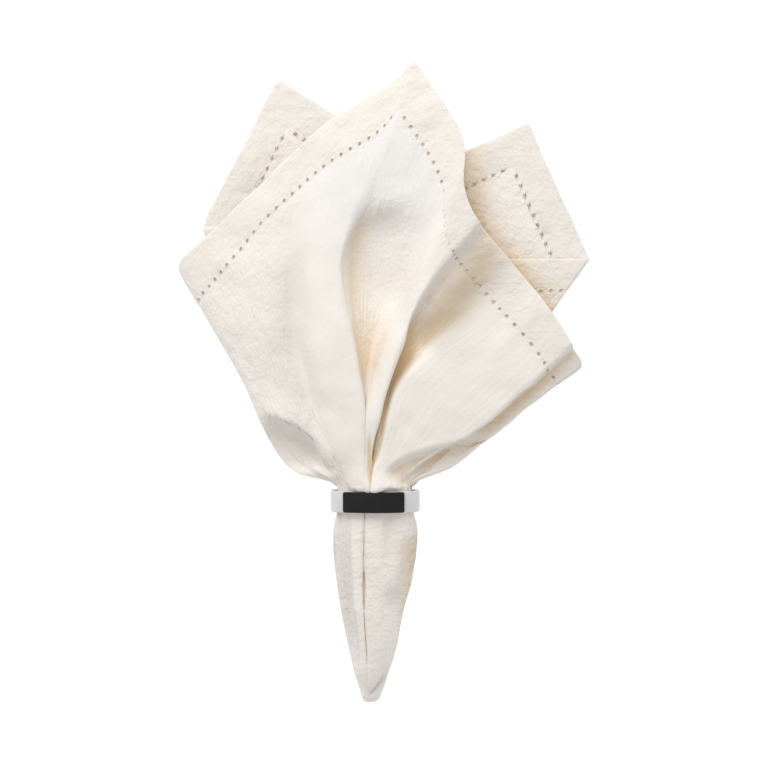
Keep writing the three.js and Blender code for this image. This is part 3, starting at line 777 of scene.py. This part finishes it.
grid_low = all_points[:, :2].min(axis=0) - GRID_MARGIN
grid_size = ((all_points[:, :2].max(axis=0) + GRID_MARGIN - grid_low) / CELL).astype(int) + 1
cells = ((all_points[:, :2] - grid_low) / CELL).astype(int)
heights = np.zeros(grid_size)
np.maximum.at(heights, (cells[:, 0], cells[:, 1]), all_points[:, 2])
filled = np.maximum.reduce([np.roll(heights, (i, j), (0, 1)) for i in (-1, 0, 1) for j in (-1, 0, 1)])
heights = np.where(heights == 0, filled, heights)
fold_shade = np.zeros(len(all_points))
facing = np.vstack([normals, -normals])
for turn in np.arange(LOOK_TURNS) * math.pi / (LOOK_TURNS / 2):
    rise = np.zeros(len(all_points))
    heading = np.array((math.cos(turn), math.sin(turn)))
    for far in LOOK_OUT:
        there = cells + np.rint(heading * far / CELL).astype(int)
        climb = np.maximum(heights[there[:, 0], there[:, 1]] - all_points[:, 2] - LOOK_LIFT, 0)
        above = facing[:, :2] @ heading * far + facing[:, 2] * climb
        rise = np.maximum(rise, above / np.hypot(climb, far) * (climb > 0))
    fold_shade += rise / LOOK_TURNS

all_x, all_y = all_points[:, 0], all_points[:, 1]
both_face = np.tile((np.abs(hem_at) < FACE_SIDE) & in_fan, 2)
roll_edge = np.interp(all_y, ROLL_EDGE_Y, ROLL_EDGE_X)
left_of_roll = smooth_step(roll_edge - all_x, *ROLL_EDGE_FADE) * both_face
left_of_roll *= LEFT_PALE + LEFT_FAR_PALE * smooth_step(-all_x, *LEFT_FAR)
lip_edge = np.interp(all_y, LIP_EDGE_Y, LIP_EDGE_X)
right_of_lip = smooth_step(all_x - lip_edge, *LIP_EDGE_FADE) * both_face * np.tile(hem_at < PANEL_END, 2)
under_strip = np.tile((hem_at > PANEL_END) & (hem_at < STRIP_END), 2) * smooth_step(-all_x, *STRIP_FADE)
right_corner = (hem_at > STRIP_END) & (hem_at < RIGHT_CORNER_END)
under_face = (np.abs(hem_at) > STRIP_END) & in_fan
on_corners = np.tile(np.where(right_corner, RIGHT_CORNER_PALE, CORNER_PALE) * under_face, 2)
on_tail_side = smooth_step(np.abs(all_x - TAIL_MIDDLE_X), *TAIL_SIDE) * (all_y < 0)
fold_shade *= (1 - left_of_roll) * (1 - PANEL_PALE * right_of_lip) * (1 - on_corners)
fold_shade *= (1 - TAIL_SIDE_PALE * on_tail_side) * (1 - STRIP_PALE * under_strip)
# Painted warm tan and grey shade laid along the folds and the tail
shade_toned = np.flatnonzero(((hem_at > DENT_HEMS[0]) & (hem_at < FACE_HEMS[1]) | in_tail) & (normals[:, 2] > 0))
warm_shade_tones = [(name, warm, *crease) for name, warm, grey, *crease in FOLD_SHADE_TONES if warm]
grey_shade_tones = [(name, grey, *crease) for name, warm, grey, *crease in FOLD_SHADE_TONES if grey]
own_side = in_fan[shade_toned] == (points[shade_toned, 1] > 0)
fold_shade[shade_toned] += crease_height(all_points[shade_toned, :2], warm_shade_tones) * in_fan[shade_toned]
shade = np.zeros(len(all_points))
shade[shade_toned] = crease_height(all_points[shade_toned, :2], grey_shade_tones) * own_side
# Painted warm shade on the flank's right-facing slope and on the tail's right side
fold_shade += LEFT_SLOPE_SHADE * left_of_roll * np.maximum(facing[:, 0], 0) * (facing[:, 2] > 0)
right_of_tail = smooth_step(all_x, *TAIL_RIGHT_X) * smooth_step(-all_y, *TAIL_RIGHT_Y)
fold_shade += TAIL_RIGHT_SHADE * right_of_tail * (facing[:, 2] > 0)

# Where the face is pulled smooth: all but its left, its hem and the floor of the spoon, which is the
# shallow hollow at the head of the roll
SPOON_MIDDLE = np.array((6, 132))
SPOON_REACH = np.array((21, 42))
TAUT_FROM_HEM = (-100, -72)
TAUT_FROM_EDGE = (19, 26)
spoon_floor = np.exp(-(((plan - SPOON_MIDDLE) / SPOON_REACH) ** 2).sum(axis=1) ** 2)
taut = (on_face & in_fan) * smooth_step(hem_at, *TAUT_FROM_HEM) * (1 - spoon_floor)
taut *= smooth_step(from_edge, *TAUT_FROM_EDGE)

# Where the cloth is drawn together, so that its crumples do not follow the flat square
SPOON_FOOT = np.array((-1, 100))
SPOON_FOOT_REACH = np.array((14, 26))
GATHERED_END = (-150, -120)
spoon_foot = np.exp(-(((plan - SPOON_FOOT) / SPOON_FOOT_REACH) ** 2).sum(axis=1)) * (on_face & in_fan)
gathered = np.maximum(smooth_step(-from_middle, *GATHERED_END), spoon_foot)
# The painted shade is kept on the mesh as attributes: warm tan shade in the folds and grey shade along them
tones = (("fold_shade", fold_shade), ("shade", shade), ("taut", np.tile(taut, 2)), ("gathered", np.tile(gathered, 2)))
for name, values in tones:
    layer = napkin_mesh.attributes.new(name, "FLOAT", "POINT")
    layer.data.foreach_set("value", values.astype(np.float32))


class Finish:
    """A value, colour or place on a surface, written as an expression that adds shader nodes."""

    def __init__(self, tree, socket=None):
        self.tree = tree
        self.socket = socket

    def node(self, kind, settings, sockets, output=0):
        """A shader node: its settings are set first, then its sockets are set or linked."""
        made = self.tree.nodes.new("ShaderNode" + kind)
        for name, value in settings.items():
            setattr(made, name, value)
        for name, value in sockets.items():
            if isinstance(value, Finish):
                self.tree.links.new(value.socket, made.inputs[name])
            else:
                made.inputs[name].default_value = value
        return Finish(self.tree, made.outputs[output])

    def math(self, operation, *others):
        """One Math node on this value and others."""
        return self.node("Math", {"operation": operation}, dict(enumerate((self, *others))))

    def __add__(self, other):
        return self.math("ADD", other)

    def __mul__(self, other):
        return self.math("MULTIPLY", other)

    def __sub__(self, other):
        return self.math("SUBTRACT", other)

    def __rsub__(self, other):
        return self * -1 + other

    __radd__ = __add__
    __rmul__ = __mul__

    def between(self, low, high):
        """0 below low and 1 above high, or the other way round where low is the larger."""
        sockets = {"Value": self, "From Min": low, "From Max": high}
        return self.node("MapRange", {"interpolation_type": "SMOOTHSTEP"}, sockets)

    def blend(self, first, second):
        """Mixes two colours, with this value as the second one's share."""
        return self.node("Mix", {"data_type": "RGBA"}, {0: self, 6: first, 7: second}, output=2)

    def noise(self, scale, detail):
        """Random values round 0 at a place; scale is the number of bumps in a unit."""
        sockets = {"Vector": self, "Scale": scale, "Detail": detail}
        return self.node("TexNoise", {}, sockets) - 0.5


def new_finish(name, **values):
    """A material with these values, the inputs of its shader, and a start for its expressions."""
    made = bpy.data.materials.new(name)
    made.use_nodes = True
    shader_inputs = made.node_tree.nodes["Principled BSDF"].inputs
    for title, value in values.items():
        shader_inputs[title.replace("_", " ")].default_value = value
    return made, shader_inputs, Finish(made.node_tree)


def finish_on(shader_inputs, bump_height, **surfaces):
    """Links what varies over a surface to its shader; bump_height is in millimetres."""
    bump = bump_height.node("Bump", {}, {"Height": bump_height, "Distance": MM, "Strength": 1.0})
    for name, value in (("Normal", bump), *surfaces.items()):
        value.tree.links.new(value.socket, shader_inputs[name.replace("_", " ")])


# Washed cotton: ivory, creamier where the hem doubles it, with painted cool light by the front corner,
# painted warm tan and grey shade in the folds, and brown at the drawn-thread holes, partly the thread's
# colour and partly painted shade inside the holes. Its bump is swells, crumples, lines of pull out from
# the middle, fuzz and weave. Lengths are on the flat square.
CREAM = (0.90, 0.846, 0.785, 1)
HEM_CREAM = (0.855, 0.803, 0.738, 1)
# Painted cool light on the face near its front corner
COOL_LIGHT_WHITE = (0.85, 0.818, 0.79, 1)
# Painted warm tan shade for the folds and painted grey shade along them
FOLD_SHADE_TAN = (0.72, 0.54, 0.32, 1)
SHADE_GREY = (0.3, 0.29, 0.28, 1)
# Brown at the holes: partly the thread's own colour, partly painted shade inside the holes
HOLE_SHADE_BROWN = (0.55, 0.46, 0.35, 1)
FOLD_SHADE_RANGE = (0.05, 0.5)
THREAD_PITCH = 0.7
HOLE_LINE_PITCH = (NAPKIN_SIDE - 2 * HEM_WIDTH) / HOLES_A_SIDE
HEM_FADE = 0.6
HOLE_RIM = (1.25, 0.7)
HOLE_ROW_END = (232, 230)
PINCHED_SIDE = (200, 201)
PINCHED_START = (144, 145)
PINCHED_END = (185, 184)
PUCKER_WIDTH = 6
# Middle and fade of the painted cool light
COOL_LIGHT_X, COOL_LIGHT_Y = 205, 212
COOL_LIGHT_FADE = (65, 20)

# Noises of the cloth, as bumps in a millimetre and detail, and what each adds to the bump's height
SWELL, SWELL_HEIGHT = (0.08, 1), 1.2
CRUMPLE, CRUMPLE_HEIGHT = (0.17, 3), 0.9
CRINKLE, CRINKLE_HEIGHT = (0.42, 3), 0.65
FUZZ, FUZZ_HEIGHT = (1.3, 2), 0.14
PULL, PULL_HEIGHT = (1.0, 3), 0.45
GATHERED_CRUMPLE, GATHERED_CRUMPLE_HEIGHT = (0.18, 3), 1.2
GATHERED_CRINKLE, GATHERED_CRINKLE_HEIGHT = (0.45, 3), 0.6
PULL_ROUND, PULL_OUT = 0.45, 0.035
WEAVE_HEIGHT = 0.004
PUCKER_HEIGHT = 0.08
HEM_FLATTER = 0.15
TAUT_FLATTER = 0.75

cloth_material, cloth_inputs, cloth = new_finish(
    "ivory_cotton", Specular_IOR_Level=0.2, Sheen_Weight=0.15, Sheen_Roughness=0.6
)
flat_place = cloth.node("UVMap", {"uv_map": "flat_square"}, {})
flat_place = cloth.node("VectorMath", {"operation": "SUBTRACT"}, {0: flat_place, 1: (0.5, 0.5, 0)})
flat_place = cloth.node("VectorMath", {"operation": "SCALE"}, {0: flat_place, "Scale": NAPKIN_SIDE})
flat_x, flat_y = (cloth.node("SeparateXYZ", {}, {0: flat_place}, output=axis) for axis in (0, 1))
size_x = flat_x.math("ABSOLUTE")
size_y = flat_y.math("ABSOLUTE")
to_edge = NAPKIN_SIDE / 2 - size_x.math("MAXIMUM", size_y)
in_hem = to_edge.between(HEM_WIDTH + HEM_FADE, HEM_WIDTH - HEM_FADE)
by_x = size_x.math("GREATER_THAN", size_y)
along_hem = by_x * flat_y + (1 - by_x) * flat_x
to_hole = along_hem - HOLE_LINE_PITCH * (along_hem * (1 / HOLE_LINE_PITCH)).math("ROUND")
to_line = to_edge - HEM_WIDTH
hole_distance = (to_hole * to_hole + to_line * to_line).math("SQRT")
hole_shade_rim = hole_distance.between(*HOLE_RIM) * size_x.math("MINIMUM", size_y).between(*HOLE_ROW_END)
pinched = flat_x.between(*PINCHED_SIDE) * flat_y.between(*PINCHED_START) * flat_y.between(*PINCHED_END)
hole_shade_rim = hole_shade_rim * (1 - pinched)
line_near = to_line.math("ABSOLUTE").between(PUCKER_WIDTH, 0)

from_centre = (flat_x * flat_x + flat_y * flat_y).math("SQRT")
round_centre = flat_y.math("ARCTAN2", flat_x) * (NAPKIN_SIDE / 2)
pull_place = cloth.node("CombineXYZ", {}, {"X": round_centre * PULL_ROUND, "Y": from_centre * PULL_OUT})
swell, crumple, crinkle, fuzz = (flat_place.noise(*kind) for kind in (SWELL, CRUMPLE, CRINKLE, FUZZ))
pull_lines = pull_place.noise(*PULL)
warp, weft = ((way * (2 * math.pi / THREAD_PITCH) + fuzz * 2).math("SINE") for way in (flat_x, flat_y))
pucker = (to_hole * (2 * math.pi / HOLE_LINE_PITCH)).math("COSINE") * line_near
# Painted cool light on the face near its front corner
cool_light_x = flat_x - COOL_LIGHT_X
cool_light_y = flat_y - COOL_LIGHT_Y
cool_light_share = (cool_light_x * cool_light_x + cool_light_y * cool_light_y).math("SQRT").between(*COOL_LIGHT_FADE) * (1 - in_hem)
own_place = cloth.node("TexCoord", {}, {}, output=3)
own_place = cloth.node("VectorMath", {"operation": "SCALE"}, {0: own_place, "Scale": 1 / MM})
gathered_share, taut_value, fold_shade_value, shade_value = (
    cloth.node("Attribute", {"attribute_name": name}, {}, output=2)
    for name in ("gathered", "taut", "fold_shade", "shade")
)
gathered_height = (
    own_place.noise(*GATHERED_CRUMPLE) * GATHERED_CRUMPLE_HEIGHT
    + own_place.noise(*GATHERED_CRINKLE) * GATHERED_CRINKLE_HEIGHT + own_place.noise(*FUZZ) * FUZZ_HEIGHT
)
crumpled = (crumple * CRUMPLE_HEIGHT + crinkle * CRINKLE_HEIGHT) * (1 - in_hem * HEM_FLATTER)
cloth_height = (
    (swell * SWELL_HEIGHT + crumpled) * (1 - taut_value * TAUT_FLATTER)
    + pull_lines * (1 - in_hem) * PULL_HEIGHT + fuzz * FUZZ_HEIGHT
    + warp * weft * WEAVE_HEIGHT - pucker * PUCKER_HEIGHT
)
cloth_height = cloth_height * (1 - gathered_share) + gathered_height * gathered_share

cloth_colour = cool_light_share.blend(CREAM, COOL_LIGHT_WHITE)
cloth_colour = in_hem.blend(cloth_colour, HEM_CREAM)
cloth_colour = (crumple * 0.5 + fuzz * 0.35 + 0.12).math("MAXIMUM", 0).blend(cloth_colour, HEM_CREAM)
# Painted warm tan shade, strongest deep in the folds
cloth_colour = fold_shade_value.between(*FOLD_SHADE_RANGE).blend(cloth_colour, FOLD_SHADE_TAN)
# Painted grey shade along the folds and on the tail's sides
cloth_colour = shade_value.blend(cloth_colour, SHADE_GREY)
# Brown at the holes: partly the thread's own colour, partly painted shade inside the holes
cloth_colour = (hole_shade_rim * (flat_place.noise(0.2, 1) * 0.9 + 0.85)).blend(cloth_colour, HOLE_SHADE_BROWN)
finish_on(cloth_inputs, cloth_height, Base_Color=cloth_colour, Roughness=fuzz * 0.2 + 0.86)
napkin_mesh.materials.append(cloth_material)
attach(napkin, "root")
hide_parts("napkin")

# The ring's band
# One oval loop of glossy white plastic, moulded in one with softly rounded edges. It stands on its
# side round the gathered cloth and is a little flattened where it rests on the table.
RING_WIDTH = 51
RING_HEIGHT = 34
BAND_WIDTH = 12.2
BAND_THICKNESS = 1.6
BAND_ROUND = 0.6
BAND_TURNS = 160
EDGE_STEPS = 5
WHITE_DULL = (0.66, 0.655, 0.665, 1)
WHITE_BRIGHT = (0.72, 0.715, 0.72, 1)


def oval_point(angle, lift):
    """Point of the ring's outside at an angle from the top, lifted outwards."""
    x, z = RING_WIDTH / 2 * np.sin(angle), RING_HEIGHT / 2 * np.cos(angle)
    slope_x, slope_z = x / RING_WIDTH**2, z / RING_HEIGHT**2
    size = np.hypot(slope_x, slope_z)
    return x + lift * slope_x / size, z + RING_MID_Z + lift * slope_z / size


def strip_section(width, low, high, rounding):
    """Outline of a strip with rounded edges: places across the strip and lifts."""
    outline = []
    for turn, (y, lift) in enumerate(((1, high), (-1, high), (-1, low), (1, low))):
        centre = np.array((y * (width / 2 - rounding), lift - rounding if lift == high else lift + rounding))
        for angle in np.linspace(0, math.pi / 2, EDGE_STEPS) + turn * math.pi / 2:
            outline.append(centre + rounding * np.array((math.cos(angle), math.sin(angle))))
    return np.array(outline)


def moulded_piece(name, sections, is_loop):
    """A smooth piece through cross sections, closed in a loop or capped at both ends."""
    ids = np.arange(len(sections) * len(sections[0])).reshape(len(sections), -1)
    quads = [] if is_loop else [ids[0], ids[-1][::-1]]
    for low, high in zip(ids, np.roll(ids, -1, axis=0) if is_loop else ids[1:]):
        quads += band_faces(low, high)
    piece = add_mesh(name, np.vstack(sections), quads)
    piece.data.polygons.foreach_set("use_smooth", np.ones(len(quads), bool))
    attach(piece, "root")
    return piece


band_section = strip_section(BAND_WIDTH, -BAND_THICKNESS, 0, BAND_ROUND)
band_sections = []
for angle in np.linspace(0, 2 * math.pi, BAND_TURNS, endpoint=False):
    x, z = oval_point(angle, band_section[:, 1])
    band_sections.append(np.stack((x, band_section[:, 0], np.maximum(z, 0)), axis=1))
band = moulded_piece("ring_band_white", band_sections, is_loop=True)

white_plastic, white_inputs, white = new_finish("white_moulded_plastic", IOR=1.49)
white_place = white.node("TexCoord", {}, {}, output=3)
white_flow = white_place.noise(180, 3)
white_grain = white_place.noise(2600, 2)
white_colour = (white_flow + 0.5).blend(WHITE_DULL, WHITE_BRIGHT)
white_height = white_grain * 0.02 + white_flow * 0.05
finish_on(white_inputs, white_height, Base_Color=white_colour, Roughness=white_flow * 0.12 + 0.3)
band.data.materials.append(white_plastic)
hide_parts("ring_band")

# The ring's plate
# A curved plate of satin black plastic with rounded corners, fixed flat on the front of the band
# and left bare. Its edges are softly rounded, and handling has left it a little uneven in gloss.
PLATE_LENGTH = 33.5
PLATE_WIDTH = 11.7
PLATE_TOP = 1.8
PLATE_SEAT = -0.05
PLATE_SHIFT = -0.8
PLATE_CORNER = 1.1
PLATE_EDGE = 0.45
PLATE_STEPS = 60
BLACK_DEEP = (0.006, 0.005, 0.006, 1)
BLACK_WORN = (0.011, 0.009, 0.010, 1)

plate_places = PLATE_LENGTH / 2 * np.sin(np.linspace(-math.pi / 2, math.pi / 2, PLATE_STEPS + 1))
plate_sections = []
for place in plate_places:
    from_end = np.clip((PLATE_LENGTH / 2 - abs(place)) / PLATE_CORNER, 0, 1)
    narrowing = PLATE_CORNER * (1 - math.sqrt(1 - (1 - from_end) ** 2))
    edge_share = np.clip((PLATE_LENGTH / 2 - abs(place)) / PLATE_EDGE, 0, 1)
    top = PLATE_TOP - PLATE_EDGE * (1 - math.sqrt(1 - (1 - edge_share) ** 2))
    section = strip_section(PLATE_WIDTH - 2 * narrowing, PLATE_SEAT, top, PLATE_EDGE)
    x, z = oval_point(math.asin((PLATE_SHIFT + place) / (RING_WIDTH / 2)), section[:, 1])
    plate_sections.append(np.stack((x, section[:, 0], z), axis=1))
plate = moulded_piece("ring_plate_black", plate_sections, is_loop=False)

black_plastic, black_inputs, black = new_finish("satin_black_plastic", Specular_IOR_Level=0.3)
black_place = black.node("TexCoord", {}, {}, output=3)
black_grain = black_place.noise(1500, 3)
black_smear = black_place.noise(120, 3)
black_colour = (black_smear + 0.5).blend(BLACK_DEEP, BLACK_WORN)
finish_on(black_inputs, black_grain * 0.05, Base_Color=black_colour, Roughness=black_smear * 0.14 + 0.5)
plate.data.materials.append(black_plastic)
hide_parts("ring_plate")

# Floor, light and camera
# The napkin lies on a plain pale table that glows a little, so that it throws hardly any shadow.
# One large soft lamp stands above it, and the white room fills in.
FLOOR_HALF = 20000
FLOOR_Z = -0.3
FLOOR_GREY = (0.4, 0.4, 0.4, 1)
FLOOR_GLOW = 0.75
WHITE_LIGHT = (1, 1, 1, 1)
LAMP_POWER = 10.4
LAMP_SIZE = 0.9
LAMP_PLACE = Vector((-0.2, 1.06, 0.85))
LAMP_AIM = Vector((0, 0.07, 0))
ROOM_LIGHT = 0.64
SENSOR = 36
PHOTO_WIDTH = 768
FOCAL_PIXELS = 1712
CAMERA_PLACE = (0.005, 0.067, 1.0)

floor_corners = [(x * FLOOR_HALF, y * FLOOR_HALF, FLOOR_Z) for x, y in ((-1, -1), (1, -1), (1, 1), (-1, 1))]
floor = add_mesh("floor", np.array(floor_corners), [(0, 1, 2, 3)])
floor_material, *_ = new_finish(
    "pale_floor", Base_Color=FLOOR_GREY, Roughness=1,
    Emission_Color=WHITE_LIGHT, Emission_Strength=FLOOR_GLOW,
)
floor.data.materials.append(floor_material)

key = add_object("key_light", bpy.data.lights.new("key_light", "AREA"))
key.data.energy = LAMP_POWER
key.data.size = LAMP_SIZE
key.location = LAMP_PLACE
key.rotation_euler = (LAMP_AIM - LAMP_PLACE).to_track_quat("-Z", "Y").to_euler()
world = bpy.data.worlds.new("studio")
world.use_nodes = True
room_inputs = world.node_tree.nodes["Background"].inputs
room_inputs["Color"].default_value = WHITE_LIGHT
room_inputs["Strength"].default_value = ROOM_LIGHT
bpy.context.scene.world = world
bpy.context.scene.view_settings.view_transform = "Standard"

camera = add_object("camera", bpy.data.cameras.new("camera"))
camera.data.sensor_width = SENSOR
camera.data.lens = SENSOR * FOCAL_PIXELS / PHOTO_WIDTH
camera.location = CAMERA_PLACE
bpy.context.scene.camera = camera
